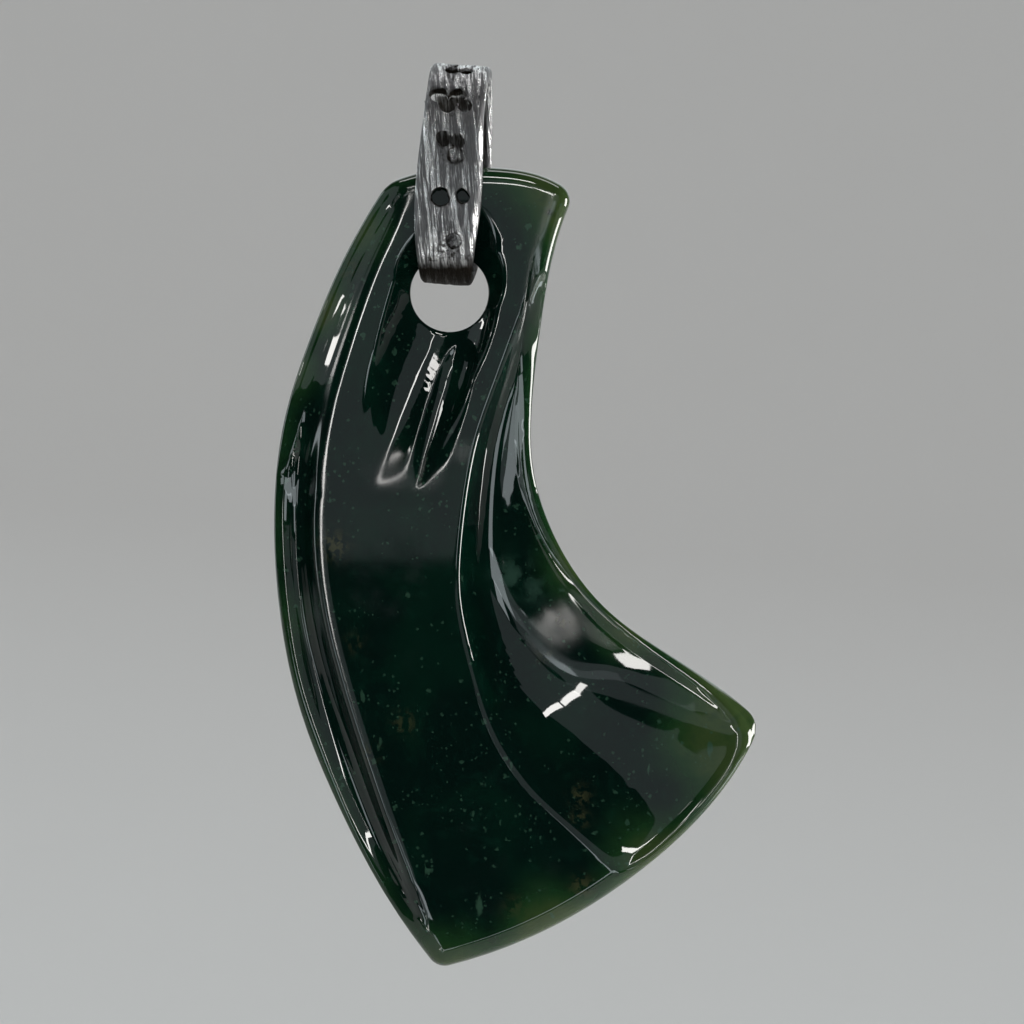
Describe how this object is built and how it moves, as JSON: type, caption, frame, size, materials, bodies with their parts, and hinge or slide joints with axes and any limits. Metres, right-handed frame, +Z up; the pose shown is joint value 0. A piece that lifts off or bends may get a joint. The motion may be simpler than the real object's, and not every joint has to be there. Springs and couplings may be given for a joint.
{
  "type": "carved stone pendant on a band bail",
  "caption": "Claw-shaped drop carved from dark green stone with hollows and a drilled hole, hanging in a flat pierced silver band bail.",
  "frame": {"origin": "inner top of the bail, where a chain bears", "axes": "-Y is the carved front, +X the viewer's right seen from the front, +Z up as it hangs"},
  "size_m": [0.0366, 0.0106, 0.0683],
  "materials": {
    "nephrite": "high polish, slightly translucent at thin edges",
    "silver": "filed and scratched along the band"
  },
  "bodies": {
    "bail": {"bail": "silver"},
    "drop": {"jade_drop": "nephrite"}
  },
  "joints": [
    {"name": "drop_swing", "type": "hinge", "parent": "bail", "child": "drop", "pos_m": [-0.0008, 0, -0.01118], "axis": [0.995, -0.0698, -0.0713], "range_deg": [-15, 15]}
  ]
}
